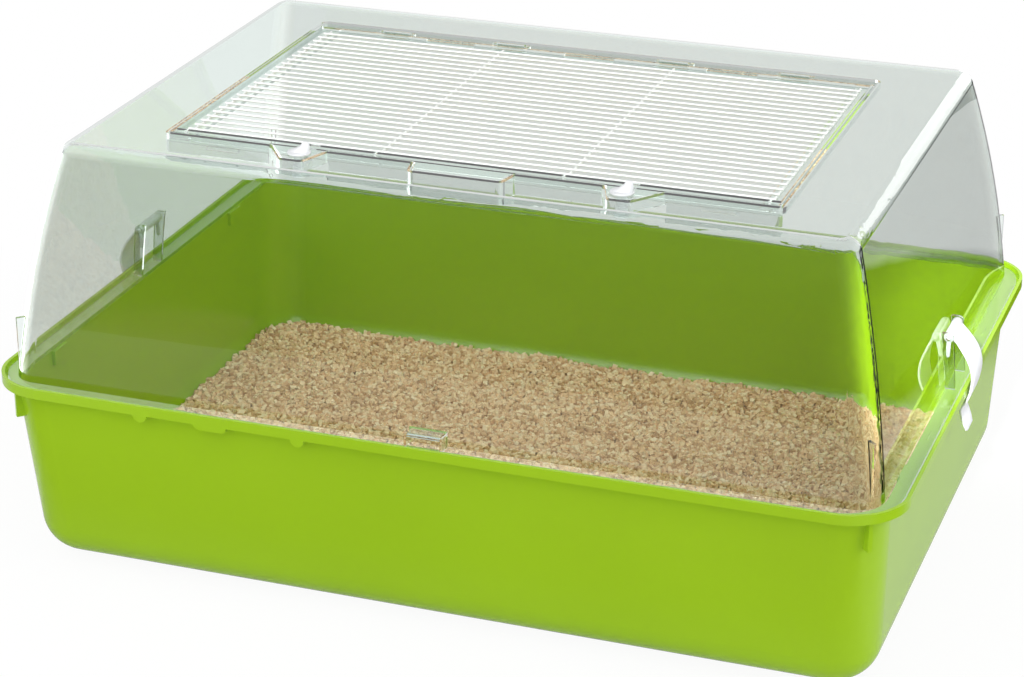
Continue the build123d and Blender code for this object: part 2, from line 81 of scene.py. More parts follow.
class CageFinishSettings(PropertyGroup):
    """Colours and surface qualities of the cage's materials."""
    tray_green: FloatVectorProperty(
        name="Tray green", description="Colour of the moulded tray", subtype="COLOR",
        size=3, min=0.0, max=1.0, default=(0.285, 0.475, 0.008))
    tray_gloss: FloatProperty(
        name="Tray roughness", description="Roughness of the tray's plastic", subtype="FACTOR",
        default=0.2, min=0.0, max=1.0)
    clear_tint: FloatVectorProperty(
        name="Clear tint", description="Tint of the clear plastic", subtype="COLOR",
        size=3, min=0.0, max=1.0, default=(0.93, 0.99, 0.965))
    # Painted shade: a grey tint on the hood's walls that face front and back, which darkens what is seen through
    # them.
    wall_painted_shade: FloatVectorProperty(
        name="Wall tint", description="Tint of the hood's thicker front and back walls", subtype="COLOR",
        size=3, min=0.0, max=1.0, default=(0.67, 0.71, 0.69))
    clear_index: FloatProperty(
        name="Refractive index", description="Refractive index of the clear plastic",
        default=1.5, min=1.0, max=2.0)
    wire_white: FloatVectorProperty(
        name="Wire white", description="Colour of the coated wire", subtype="COLOR",
        size=3, min=0.0, max=1.0, default=(0.76, 0.78, 0.76))
    fitting_white: FloatVectorProperty(
        name="Fitting white", description="Colour of the clips and latch knobs", subtype="COLOR",
        size=3, min=0.0, max=1.0, default=(0.66, 0.67, 0.69))


class BeddingSettings(PropertyGroup):
    """Size and spread of the loose bedding granules."""
    grain_length: FloatProperty(
        name="Granule length", description="Longest side of an average granule", unit="LENGTH",
        subtype="DISTANCE", default=3.6 * MM, min=1.0 * MM, max=10.0 * MM)
    grain_spacing: FloatProperty(
        name="Granule spacing", description="Distance between granules of one layer", unit="LENGTH",
        subtype="DISTANCE", default=2.6 * MM, min=1.0 * MM, max=10.0 * MM)
    seed: IntProperty(
        name="Seed", description="Start of the granules' fixed random order", default=11, min=0)


class StageSettings(PropertyGroup):
    """Light, floor and camera around the cage."""
    world_strength: FloatProperty(
        name="Surrounding light", description="Strength of the even surrounding light", default=0.65, min=0.0)
    key_power: FloatProperty(
        name="Key lamp", description="Power of the large soft lamp above the front", unit="POWER",
        default=11.0, min=0.0)
    side_power: FloatProperty(
        name="Side lamp", description="Power of the soft lamp on the right", unit="POWER",
        default=13.0, min=0.0)
    corner_power: FloatProperty(
        name="Corner lamp", description="Power of the soft spot on the tray's far right corner", unit="POWER",
        default=190.0, min=0.0)
    shine_power: FloatProperty(
        name="Shine of the panels", description="Power of a square metre of the panels that only gloss shows",
        unit="POWER", default=65.0, min=0.0)


# ---------------------------------------------------------------- node helpers

def new_finish(name):
    """A new material with its node lists and its main shader."""
    finish = bpy.data.materials.new(name)
    finish.use_nodes = True
    tree = finish.node_tree
    return finish, tree.nodes, tree.links, tree.nodes["Principled BSDF"]


def grain_noise(nodes, links, scale, detail=2.0):
    """Noise over the object's own coordinates, in cycles per metre."""
    place = nodes.new("ShaderNodeTexCoord")
    grain = nodes.new("ShaderNodeTexNoise")
    grain.inputs["Scale"].default_value = scale
    grain.inputs["Detail"].default_value = detail
    links.new(place.outputs["Object"], grain.inputs["Vector"])
    return grain


def bump_from(nodes, links, height, shader, distance, strength):
    """Feeds a height to the shader's normal through a bump."""
    bump = nodes.new("ShaderNodeBump")
    bump.inputs["Distance"].default_value = distance
    bump.inputs["Strength"].default_value = strength
    links.new(height, bump.inputs["Height"])
    links.new(bump.outputs["Normal"], shader.inputs["Normal"])


def two_tone(nodes, links, factor, low, high, low_at=0.3, high_at=0.7):
    """Colour ramp from one colour to another over a factor."""
    ramp = nodes.new("ShaderNodeValToRGB")
    ramp.color_ramp.elements[0].position = low_at
    ramp.color_ramp.elements[1].position = high_at
    ramp.color_ramp.elements[0].color = (*low, 1.0)
    ramp.color_ramp.elements[1].color = (*high, 1.0)
    links.new(factor, ramp.inputs["Fac"])
    return ramp


def reckon(nodes, links, operation, *values):
    """A maths node over sockets or numbers; returns its output."""
    step = nodes.new("ShaderNodeMath")
    step.operation = operation
    for socket, value in zip(step.inputs, values):
        if isinstance(value, (int, float)):
            socket.default_value = value
        else:
            links.new(value, socket)
    return step.outputs[0]


def grey_ramp(nodes, links, factor, stops):
    """Grey colour ramp with (place, level) stops over a factor."""
    ramp = nodes.new("ShaderNodeValToRGB")
    marks = ramp.color_ramp.elements
    while len(marks) < len(stops):
        marks.new(0.5)
    for mark, (place, level) in zip(marks, stops):
        mark.position = place
        mark.color = (level, level, level, 1.0)
    links.new(factor, ramp.inputs["Fac"])
    return ramp.outputs["Color"]


def axes_of(nodes, links, vector):
    """The X, Y and Z outputs of a vector."""
    parts = nodes.new("ShaderNodeSeparateXYZ")
    links.new(vector, parts.inputs["Vector"])
    return parts.outputs


def mix_shaders(nodes, links, share, first, second):
    """The first shader giving way to the second by a share; returns the output."""
    mix = nodes.new("ShaderNodeMixShader")
    for socket, source in zip(mix.inputs, (share, first, second)):
        links.new(source, socket)
    return mix.outputs["Shader"]


GUIDED_LOSS = 0.3


def seen_straight(nodes, links):
    """Two outputs: where the camera looks on, also through clear plastic or guided along it with some loss, and
    where a first reflection does."""
    step = partial(reckon, nodes, links)
    path = nodes.new("ShaderNodeLightPath")
    unscattered = step("LESS_THAN", path.outputs["Diffuse Depth"], 0.5)
    polished = step("MULTIPLY", path.outputs["Is Glossy Ray"], unscattered)
    once = step("COMPARE", path.outputs["Glossy Depth"], 1.0, 0.4)
    in_gloss = step("MULTIPLY", polished, once)
    guided = step("GREATER_THAN", path.outputs["Glossy Depth"], 1.5)
    kept = step("MULTIPLY_ADD", guided, -GUIDED_LOSS, 1.0)
    through = step("MULTIPLY", step("SUBTRACT", polished, in_gloss), kept)
    straight = step("MAXIMUM", path.outputs["Is Camera Ray"], through)
    return straight, in_gloss


def dress(node, finish):
    """Gives a CAD node's object one material."""
    mesh = frame["nodes"][node].data
    mesh.materials.clear()
    mesh.materials.append(finish)


def scaled(colour, share):
    """A colour made lighter or darker by a share."""
    return tuple(min(1.0, channel * share) for channel in colour)


# ---------------------------------------------------------------- finishes

SKIN_DEPTH = 0.02 * MM
COAT_DEPTH = 0.05 * MM
FIBRE_DEPTH = 0.2 * MM
# Painted shade: the grey wall tint sets in as the normal turns this far towards front or back.
PAINTED_SHADE_FACING = (0.75, 0.97)
SMUDGE = ((0.35, 0.0), (0.7, 0.012))
SHADE_TINT = (0.95, 0.97, 0.96, 1.0)
GRANULE_DARK, GRANULE_MIDDLE, GRANULE_LIGHT = (0.60, 0.37, 0.18), (0.90, 0.62, 0.35), (0.98, 0.80, 0.53)
# Painted shade: the body under the granules is darkened to this share to stand for the shade in the gaps between
# them.
UNDERLAYER_PAINTED_SHADE = 0.42


def moulded_tray_finish(settings):
    """Glossy opaque plastic with faint flow marks and a fine moulded skin."""
    finish, nodes, links, shader = new_finish("tray_green_plastic")
    flow = grain_noise(nodes, links, 7.0, 3.0)
    tone = two_tone(nodes, links, flow.outputs["Fac"], scaled(settings.tray_green, 0.965),
                    scaled(settings.tray_green, 1.03))
    links.new(tone.outputs["Color"], shader.inputs["Base Color"])
    shader.inputs["Roughness"].default_value = settings.tray_gloss
    shader.inputs["IOR"].default_value = 1.49
    shader.inputs["Specular IOR Level"].default_value = 0.42
    skin = grain_noise(nodes, links, 1400.0, 2.0)
    bump_from(nodes, links, skin.outputs["Fac"], shader, SKIN_DEPTH, 0.25)
    return finish


def clear_plastic_finish(settings, name, wall_painted_shade=None):
    """Clear moulded plastic, faintly smudged, that light falls through; front and back walls may get a grey tint as
    painted shade.
    """
    finish, nodes, links, shader = new_finish(name)
    step = partial(reckon, nodes, links)
    shader.inputs["Base Color"].default_value = (*settings.clear_tint, 1.0)
    shader.inputs["IOR"].default_value = settings.clear_index
    shader.inputs["Transmission Weight"].default_value = 1.0
    # Painted shade: walls facing front or back turn to the grey tint, darkening what is seen through them.
    if wall_painted_shade is not None:
        facing = axes_of(nodes, links, nodes.new("ShaderNodeTexCoord").outputs["Normal"])
        turned = step("ABSOLUTE", facing["Y"])
        tone = two_tone(nodes, links, turned, settings.clear_tint, wall_painted_shade, *PAINTED_SHADE_FACING)
        links.new(tone.outputs["Color"], shader.inputs["Base Color"])
    smudge = grain_noise(nodes, links, 22.0, 4.0)
    links.new(grey_ramp(nodes, links, smudge.outputs["Fac"], SMUDGE), shader.inputs["Roughness"])
    path = nodes.new("ShaderNodeLightPath")
    guided = step("GREATER_THAN", path.outputs["Glossy Depth"], 0.5)
    lit = step("MAXIMUM", path.outputs["Is Shadow Ray"], path.outputs["Is Diffuse Ray"])
    light_through = nodes.new("ShaderNodeBsdfTransparent")
    light_through.inputs["Color"].default_value = SHADE_TINT
    surface = mix_shaders(nodes, links, step("MAXIMUM", lit, guided), shader.outputs["BSDF"],
                          light_through.outputs["BSDF"])
    links.new(surface, nodes["Material Output"].inputs["Surface"])
    return finish


def coated_wire_finish(settings):
    """White coating on steel wire, a little uneven along it."""
    finish, nodes, links, shader = new_finish("white_wire_coating")
    coat = grain_noise(nodes, links, 160.0, 3.0)
    tone = two_tone(nodes, links, coat.outputs["Fac"], scaled(settings.wire_white, 0.95), settings.wire_white)
    links.new(tone.outputs["Color"], shader.inputs["Base Color"])
    shader.inputs["Roughness"].default_value = 0.35
    runs = grain_noise(nodes, links, 500.0, 2.0)
    bump_from(nodes, links, runs.outputs["Fac"], shader, COAT_DEPTH, 0.4)
    return finish


def white_fitting_finish(settings):
    """Satin white plastic of the clips and latch knobs."""
    finish, nodes, links, shader = new_finish("white_fitting_plastic")
    cloud = grain_noise(nodes, links, 60.0, 2.0)
    tone = two_tone(nodes, links, cloud.outputs["Fac"], scaled(settings.fitting_white, 0.97),
                    settings.fitting_white)
    links.new(tone.outputs["Color"], shader.inputs["Base Color"])
    shader.inputs["Roughness"].default_value = 0.45
    shader.inputs["Specular IOR Level"].default_value = 0.25
    skin = grain_noise(nodes, links, 1800.0, 2.0)
    bump_from(nodes, links, skin.outputs["Fac"], shader, SKIN_DEPTH, 0.3)
    return finish


def granule_finish(name, shade):
    """Pale wood granules, each of its own tone, with a fibrous bump; a shade share below one darkens the tones as
    painted shade.
    """
    finish, nodes, links, shader = new_finish(name)
    crumb = nodes.new("ShaderNodeNewGeometry")
    tone = two_tone(nodes, links, crumb.outputs["Random Per Island"], scaled(GRANULE_DARK, shade),
                    scaled(GRANULE_LIGHT, shade), 0.0, 1.0)
    middle = tone.color_ramp.elements.new(0.4)
    middle.color = (*scaled(GRANULE_MIDDLE, shade), 1.0)
    fleck = grain_noise(nodes, links, 700.0, 2.0)
    mottle = nodes.new("ShaderNodeMix")
    mottle.data_type = "RGBA"
    mottle.blend_type = "MULTIPLY"
    mottle.inputs["Factor"].default_value = 0.35
    links.new(tone.outputs["Color"], mottle.inputs["A"])
    links.new(grey_ramp(nodes, links, fleck.outputs["Fac"], ((0.3, 0.6), (0.6, 1.0))), mottle.inputs["B"])
    links.new(mottle.outputs["Result"], shader.inputs["Base Color"])
    shader.inputs["Roughness"].default_value = 0.9
    shader.inputs["Specular IOR Level"].default_value = 0.1
    fibre = grain_noise(nodes, links, 1500.0, 3.0)
    bump_from(nodes, links, fibre.outputs["Fac"], shader, FIBRE_DEPTH, 0.5)
    return finish


# ---------------------------------------------------------------- mesh helpers

def place_object(name, data):
    """A new object in the scene."""
    item = bpy.data.objects.new(name, data)
    bpy.context.scene.collection.objects.link(item)
    return item


def add_piece(name, verts, faces, finish, body, slot, smooth=True):
    """Makes a mesh object, dresses it and lets it ride on a body."""
    mesh = bpy.data.meshes.new(name)
    mesh.from_pydata([tuple(v) for v in verts], [], faces)
    mesh.validate()
    mesh.update()
    if smooth:
        mesh.polygons.foreach_set("use_smooth", [True] * len(mesh.polygons))
    piece = place_object(name, mesh)
    mesh.materials.append(finish)
    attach(piece, body)
    return piece


def bridge_rings(rings):
    """Joins rings of equal length into a closed skin and returns its points and faces."""
    verts = [point for ring in rings for point in ring]
    count = len(rings[0])
    faces = []
    for level in range(len(rings) - 1):
        for k in range(count):
            a = level * count + k
            b = level * count + (k + 1) % count
            faces.append((a, b, b + count, a + count))
    faces.append(tuple(reversed(range(count))))
    faces.append(tuple(range((len(rings) - 1) * count, len(rings) * count)))
    return verts, faces


def join_parts(parts):
    """Points and faces of several closed skins as one mesh."""
    verts, faces = [], []
    for part_verts, part_faces in parts:
        base = len(verts)
        verts.extend(part_verts)
        faces.extend(tuple(base + k for k in face) for face in part_faces)
    return verts, faces


def oval_ring(centre, first, second, first_reach, second_reach, count=28, power=2.0):
    """Ring round a centre in the plane of two directions, from an oval to a squarish one."""
    ring = []
    for k in range(count):
        turn = 2 * math.pi * k / count
        c, d = math.cos(turn), math.sin(turn)
        c = math.copysign(abs(c) ** (2 / power), c)
        d = math.copysign(abs(d) ** (2 / power), d)
        ring.append(centre + first * (first_reach * c) + second * (second_reach * d))
    return ring


def smooth_path(points, steps):
    """Points on a Catmull-Rom curve through the given points."""
    path = []
    ends = [points[0] * 2 - points[1]] + list(points) + [points[-1] * 2 - points[-2]]
    for i in range(1, len(ends) - 2):
        p0, p1, p2, p3 = ends[i - 1:i + 3]
        for k in range(steps):
            t = k / steps
            path.append(0.5 * ((2 * p1) + (p2 - p0) * t + (2 * p0 - 5 * p1 + 4 * p2 - p3) * t * t
                               + (3 * p1 - p0 - 3 * p2 + p3) * t ** 3))
    path.append(points[-1].copy())
    return path


def rounded_outline(half_x, half_y, corner, count):
    """Points round a rounded rectangle, evenly spread along its edge."""
    straight_x, straight_y = half_x - corner, half_y - corner
    arc = math.pi * corner / 2
    total = 4 * (straight_x + straight_y + arc)
    runs = []
    for k in range(4):
        centre = ((straight_x, straight_y), (-straight_x, straight_y),
                  (-straight_x, -straight_y), (straight_x, -straight_y))[k]
        runs.append(("arc", arc, centre, k * math.pi / 2))
        runs.append(("line", 2 * (straight_x if k % 2 == 0 else straight_y), centre, (k + 1) * math.pi / 2))
    points = []
    for i in range(count):
        left = total * i / count
        for kind, length, centre, angle in runs:
            if left <= length:
                break
            left -= length
        turn = angle + (left / corner if kind == "arc" else 0.0)
        x = centre[0] + corner * math.cos(turn)
        y = centre[1] + corner * math.sin(turn)
        if kind == "line":
            x -= math.sin(turn) * left
            y += math.cos(turn) * left
        points.append((x, y))
    return points


# ---------------------------------------------------------------- bedding

BEDDING_CORNER = 24.0 * MM
BEDDING_TOP = 18.0 * MM
SWELL = 1.1 * MM
SWELL_PITCH = (61.0 * MM, 53.0 * MM)
RING_POINTS = 200
RING_SHARES = [1.0, 0.985] + [0.96 - 0.04 * k for k in range(24)]
UNDERLAYER_INSET = 0.5 * MM
UNDERLAYER_SINK = 1.3 * MM
UNDERLAYER_FOOT = (0.93, 0.9, 0.3 * MM)
GRANULE_INSET = 1.2 * MM
# Height of the lower layer's middles over the surface and the rise to the upper layer, in millimetres.
LOWER_LAYER, LAYER_RISE = -0.7, 0.9
UPPER_GAPS = 0.45
GRANULE_SIZES = (0.6, 0.8, 0.95, 1.05, 1.2)


def bedding_height(x, y):
    """Height of the bedding's gently uneven surface, with the same swells as its solid."""
    across, along = x / SWELL_PITCH[0], y / SWELL_PITCH[1]
    broad = math.sin(2 * math.pi * across) * math.sin(2 * math.pi * along)
    slow = math.sin(2 * math.pi * across / 3 + along)
    return BEDDING_TOP + SWELL * (broad + slow) / 2


GRANULE_CORNERS = ((-1, -1, -1), (1, -1, -1), (1, 1, -1), (-1, 1, -1), (-1, -1, 1), (1, -1, 1), (1, 1, 1), (-1, 1, 1))
GRANULE_FACES = ((0, 3, 2, 1), (4, 5, 6, 7), (0, 1, 5, 4), (1, 2, 6, 5), (2, 3, 7, 6), (3, 0, 4, 7))


def granule(rng, centre, size):
    """Eight-cornered crumb with its own proportions and turn."""
    reach = Vector((rng.uniform(0.8, 1.35), rng.uniform(0.65, 1.0), rng.uniform(0.5, 0.85))) * size / 2
    turn = Euler([rng.uniform(0, 2 * math.pi) for _ in range(3)]).to_matrix()
    corners = []
    for sx, sy, sz in GRANULE_CORNERS:
        pull = [rng.uniform(0.62, 1.0) for _ in range(3)]
        corner = Vector((sx * reach.x * pull[0], sy * reach.y * pull[1], sz * reach.z * pull[2]))
        corners.append(centre + turn @ corner)
    return corners


def inside_outline(x, y, half_x, half_y, corner):
    """True where a place lies inside the bedding's rounded rectangle."""
    dx, dy = abs(x) - (half_x - corner), abs(y) - (half_y - corner)
    if dx <= 0 or dy <= 0:
        return dx <= corner and dy <= corner
    return dx * dx + dy * dy <= corner * corner


def underlayer_skin(half_x, half_y, floor_z):
    """Closed body under the granules, painted dark as shade in the gaps between them, in rings from its foot and rim
    to near its middle.
    """
    outline = rounded_outline(half_x - UNDERLAYER_INSET, half_y - UNDERLAYER_INSET, BEDDING_CORNER, RING_POINTS)
    rings = []
    for share in RING_SHARES:
        rings.append([Vector((x * share, y * share, bedding_height(x * share, y * share) - UNDERLAYER_SINK))
                      for x, y in outline])
    share_x, share_y, lift = UNDERLAYER_FOOT
    foot = [Vector((p.x * share_x, p.y * share_y, floor_z + lift)) for p in rings[0]]
    return bridge_rings([foot] + rings)


def granule_layers(settings, half_x, half_y):
    """Two layers of scattered granules, the upper one with gaps, as one mesh."""
    rng = random.Random(settings.seed)
    step = settings.grain_spacing
    nx, ny = int(half_x / step) + 1, int(half_y / step) + 1
    verts, faces = [], []
    for layer in range(2):
        for i in range(-nx, nx + 1):
            for j in range(-ny, ny + 1):
                x = (i + 0.5 * layer) * step + rng.uniform(-0.45, 0.45) * step
                y = (j + 0.5 * layer) * step + rng.uniform(-0.45, 0.45) * step
                if not inside_outline(x, y, half_x - GRANULE_INSET, half_y - GRANULE_INSET, BEDDING_CORNER):
                    continue
                if layer and rng.random() < UPPER_GAPS:
                    continue
                size = settings.grain_length * rng.choice(GRANULE_SIZES) * rng.uniform(0.85, 1.1)
                z = bedding_height(x, y) + (LAYER_RISE * layer + LOWER_LAYER) * MM + rng.uniform(-0.4, 0.5) * MM
                base = len(verts)
                verts.extend(granule(rng, Vector((x, y, z)), size))
                faces.extend(tuple(base + k for k in face) for face in GRANULE_FACES)
    return verts, faces


class CAGE_OT_fill_bedding(Operator):
    """Fills the tray's floor with loose pale granules"""
    bl_idname = "cage.fill_bedding"
    bl_label = "Fill bedding"

    def execute(self, context):
        low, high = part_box("bedding_layer")
        # Painted shade: the dark underlayer stands for the shade between the granules.
        bed = add_piece("bedding_bed", *underlayer_skin(high.x, high.y, low.z),
                        granule_finish("bedding_underlayer_painted_shade", UNDERLAYER_PAINTED_SHADE), "tray", "bedding")
        grains = add_piece("bedding_granules", *granule_layers(context.scene.cage_bedding, high.x, high.y),
                           granule_finish("bedding_granule", 1.0), "tray", "bedding", smooth=False)
        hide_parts("bedding_layer")
        grains.parent = bed.parent
        return {"FINISHED"}


# ---------------------------------------------------------------- clips and latches

# The strap's outer face from its barrel to the thumb tab: x, z and width in millimetres.
CLIP_LINE = (
    (261.6, 158.6, 21.0), (264.6, 156.6, 23.0), (268.6, 152.2, 25.0), (272.6, 147.1, 27.0),
    (275.6, 142.4, 28.0), (277.6, 137.6, 28.0), (278.7, 131.6, 27.6), (278.4, 125.6, 26.0),
    (277.2, 119.6, 22.6), (275.2, 114.2, 19.0), (273.0, 110.2, 17.6), (272.2, 107.6, 17.8),
    (273.4, 103.6, 18.6), (275.2, 98.6, 18.2), (276.3, 95.4, 15.5),
)
CLIP_STEPS = 6
CLIP_THICKNESS = 1.7 * MM
CLIP_PIVOT = (262.478 * MM, 155.5 * MM)
# The barrel with its pin: y and radius; each finger: z and its half sizes, in millimetres.
BARREL_PROFILE = ((-14.0, 0.9), (-13.7, 1.25), (-12.6, 1.3), (-12.55, 2.7), (-12.2, 3.1), (-6.0, 3.15), (0.0, 3.15),
                  (6.0, 3.15), (12.2, 3.1), (12.55, 2.7), (12.6, 1.3), (13.7, 1.25), (14.0, 0.9))
FINGER_PLACE = 11.4 * MM
FINGER_PROFILE = ((154.5, 1.3, 1.1), (147.0, 1.25, 1.05), (143.6, 1.1, 0.95), (142.9, 0.8, 0.7), (142.6, 0.3, 0.3))


def strap_ring(centre, outward, half_width, half_thickness, count=6):
    """Rounded cross-section of the clip's strap."""
    corner = half_thickness * 0.9
    ring = []
    for sy, sn, start in ((1, 1, 0), (-1, 1, 1), (-1, -1, 2), (1, -1, 3)):
        for k in range(count):
            turn = (start + k / (count - 1)) * math.pi / 2
            y = sy * (half_width - corner) + corner * math.cos(turn)
            n = sn * (half_thickness - corner) + corner * math.sin(turn)
            ring.append(centre + Vector((0, y, 0)) + outward * n)
    return ring


def strap_skin(side):
    """The clip's bent strap; its line holds x, width and z."""
    path = smooth_path([Vector((x, width, z)) * MM for x, z, width in CLIP_LINE], CLIP_STEPS)
    rings = []
    for i, point in enumerate(path):
        ahead = path[min(i + 1, len(path) - 1)] - path[max(i - 1, 0)]
        along = Vector((ahead.x, 0, ahead.z)).normalized()
        out = Vector((side * -along.z, 0, along.x))
        centre = Vector((side * point.x, 0, point.z))
        rings.append(strap_ring(centre - out * CLIP_THICKNESS / 2, out, point.y / 2, CLIP_THICKNESS / 2))
    return bridge_rings(rings)


def clip_inner_skins(side):
    """Barrel with its pin, and the two fingers below it."""
    pivot = Vector((side * CLIP_PIVOT[0], 0, CLIP_PIVOT[1]))
    skins = [bridge_rings([oval_ring(pivot + AHEAD * y * MM, UP, RIGHT, r * MM, r * MM) for y, r in BARREL_PROFILE])]
    for side_y in (-1, 1):
        rings = [oval_ring(Vector((pivot.x, side_y * FINGER_PLACE, z * MM)), RIGHT, AHEAD, a * MM, b * MM, 20, 4.0)
                 for z, a, b in FINGER_PROFILE]
        skins.append(bridge_rings(rings))
    return skins


class CAGE_OT_fit_side_clips(Operator):
    """Shapes the two white clips that hook the hood to the tray"""
    bl_idname = "cage.fit_side_clips"
    bl_label = "Fit side clips"

    def execute(self, context):
        finish = white_fitting_finish(context.scene.cage_finish)
        for side_name, side in SIDES:
            verts, faces = join_parts([strap_skin(side)] + clip_inner_skins(side))
            strap = add_piece("side_clip_strap_" + side_name, verts, faces, finish, "clip_" + side_name,
                              "white_plastic")
            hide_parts("side_clip_" + side_name)
        return {"FINISHED"}


LATCH_PLACE = (97.0 * MM, -127.4 * MM)
KNOB_FOOT = 264.6 * MM
# The knob's round base: height and radius in millimetres.
KNOB_DISC = ((0.0, 6.5), (0.25, 6.9), (0.75, 7.0), (1.2, 6.9), (1.5, 6.5), (1.5, 4.0))
AXLE_RADIUS = 2.9 * MM
FIN_HEIGHT = 5.4 * MM
FIN_FOOT = 1.3 * MM
FIN_STEPS = 12
# The fin's rounded crown: share of its last ring and lift in millimetres.
FIN_CROWN = ((0.8, 0.2), (0.5, 0.32), (0.2, 0.38))


def fin_ring(centre, share):
    """Level of the knob's fin, concave and leaning on its left and convex on its right, in millimetres from the
    knob's axis."""
    slim = (1 - share) ** 2.0
    left = (1.4 - 7.9 * slim) * MM
    right = (6.5 - 0.9 * share ** 2.5) * MM
    half_width = (1.1 + 2.5 * (1 - share) ** 1.3) * MM
    middle = centre + Vector(((left + right) / 2, 1.6 * share * MM, FIN_HEIGHT * share + FIN_FOOT))
    return oval_ring(middle, RIGHT, AHEAD, (right - left) / 2, half_width, 32, 2.2)


def knob_skin(centre, depth):
    """Thumb knob: round base, leaning fin and the axle below it."""
    disc = [oval_ring(centre + UP * z * MM, RIGHT, AHEAD, r * MM, r * MM, 40) for z, r in KNOB_DISC]
    axle = [oval_ring(centre + UP * z, RIGHT, AHEAD, AXLE_RADIUS, AXLE_RADIUS) for z in (-depth, 0.5 * MM)]
    fin = [fin_ring(centre, k / FIN_STEPS) for k in range(FIN_STEPS + 1)]
    edge = fin[-1]
    middle = sum(edge, Vector()) / len(edge)
    for share, lift in FIN_CROWN:
        fin.append([middle + (p - middle) * share + UP * lift * MM for p in edge])
    return join_parts([bridge_rings(disc), bridge_rings(axle), bridge_rings(fin)])


class CAGE_OT_fit_latches(Operator):
    """Shapes the two thumb knobs of the door's turning latches"""
    bl_idname = "cage.fit_latches"
    bl_label = "Fit latches"

    def execute(self, context):
        finish = white_fitting_finish(context.scene.cage_finish)
        for side_name, side in SIDES:
            low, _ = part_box("latch_knob_" + side_name)
            centre = Vector((side * LATCH_PLACE[0], LATCH_PLACE[1], KNOB_FOOT))
            verts, faces = knob_skin(centre, KNOB_FOOT - low.z)
            knob = add_piece("thumb_knob_" + side_name, verts, faces, finish, "latch_" + side_name,
                             "white_plastic")
            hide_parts("latch_knob_" + side_name)
            dress("latch_cam_" + side_name, finish)
        return {"FINISHED"}


# ---------------------------------------------------------------- moulded parts

class CAGE_OT_finish_tray(Operator):
    """Finishes the deep green tray"""
    bl_idname = "cage.finish_tray"
    bl_label = "Finish tray"

    def execute(self, context):
        dress("tray", moulded_tray_finish(context.scene.cage_finish))
        return {"FINISHED"}


class CAGE_OT_finish_hood(Operator):
    """Finishes the clear hood"""
    bl_idname = "cage.finish_hood"
    bl_label = "Finish hood"

    def execute(self, context):
        settings = context.scene.cage_finish
        dress("hood", clear_plastic_finish(settings, "clear_hood_plastic_painted_shade", settings.wall_painted_shade))
        return {"FINISHED"}


class CAGE_OT_finish_door(Operator):
    """Finishes the door's clear frame and its white wires"""
    bl_idname = "cage.finish_door"
    bl_label = "Finish door"

    def execute(self, context):
        settings = context.scene.cage_finish
        dress("door_frame", clear_plastic_finish(settings, "clear_door_plastic"))
        dress("wire_grille", coated_wire_finish(settings))
        return {"FINISHED"}


# ---------------------------------------------------------------- stage

CAMERA_PLACE = (0.531653, -1.520030, 0.804193)
CAMERA_FORWARD = (-0.309935, 0.864786, -0.395077)
CAMERA_RIGHT = (0.941410, 0.337264, -0.000289)
CAMERA_LENS = 98.955

FLOOR_RADIUS = 1.5
FLOOR_SIDES = 64
FLOOR_GREY = (0.85, 0.85, 0.85, 1.0)
# White share of the floor where the camera looks on, over the distance from the middle as a share of the radius.
FLOOR_WHITE = ((0.271, 0.94), (0.396, 1.0))
# Where the floor counts as behind the cage, over y + 0.5 and over that plus SLANT times x.
SLANT = 0.6
BEHIND_DEPTH = ((0.26, 0.0), (0.36, 1.0))
BEHIND_SLANT = ((0.45, 0.0), (0.52, 1.0))
# Brightness of the floor in gloss: behind the cage over the distance, over x and over y less FAR_SLOPE times x,
# and before it over the distance.
FAR_SLOPE = 1.07
SHINE_REAR = ((0.271, 0.6), (0.333, 0.0))
SHINE_LEFT = ((0.18, 0.6), (0.3, 0.0))
SHINE_FAR = ((0.165, 0.0), (0.195, 0.75))
SHINE_FRONT = ((0.33, 0.0), (0.41, 0.75))

# Brightness of the room's walls in gloss: behind and before over the height, on the left over x, each axis
# running from 0 to 1, and the change from before to behind over y.
ROOM_BACK = ((0.2, 0.9), (0.28, 0.04), (0.55, 0.04), (0.62, 1.15), (0.8, 1.15), (0.95, 0.6))
ROOM_FRONT = ((0.4, 0.9), (0.45, 0.14), (0.56, 0.14), (0.62, 0.3))
ROOM_LEFT = ((0.5, 0.8), (0.58, 0.0))
ROOM_TURN = ((0.45, 0.0), (0.55, 1.0))

# Place, aim, width and height of the soft lamps and of the panels that only gloss shows.
ABOVE_FRONT = ((-0.37, -0.79, 0.97), (-0.37, -0.11, 0.19), 1.6, 1.55)
AT_RIGHT = ((1.5, -0.1, 0.8), (0.0, 0.0, 0.12), 1.0, 1.0)
AT_LEFT = ((-0.62, -0.12, 0.17), (0.0, -0.12, 0.17), 0.66, 0.33)
AT_REAR = ((0.55, 1.6, 0.6), (0.22, 0.0, 0.26), 0.8, 0.7)
LEFT_SHINE, REAR_SHINE = 1 / 14, 1 / 10
CORNER_PLACE, CORNER_AIM = (0.36, -1.25, 0.85), (0.262, 0.17, 0.075)
CORNER_ANGLE = math.radians(7.0)
CORNER_BLEND = 0.6
CORNER_RADIUS = 0.03


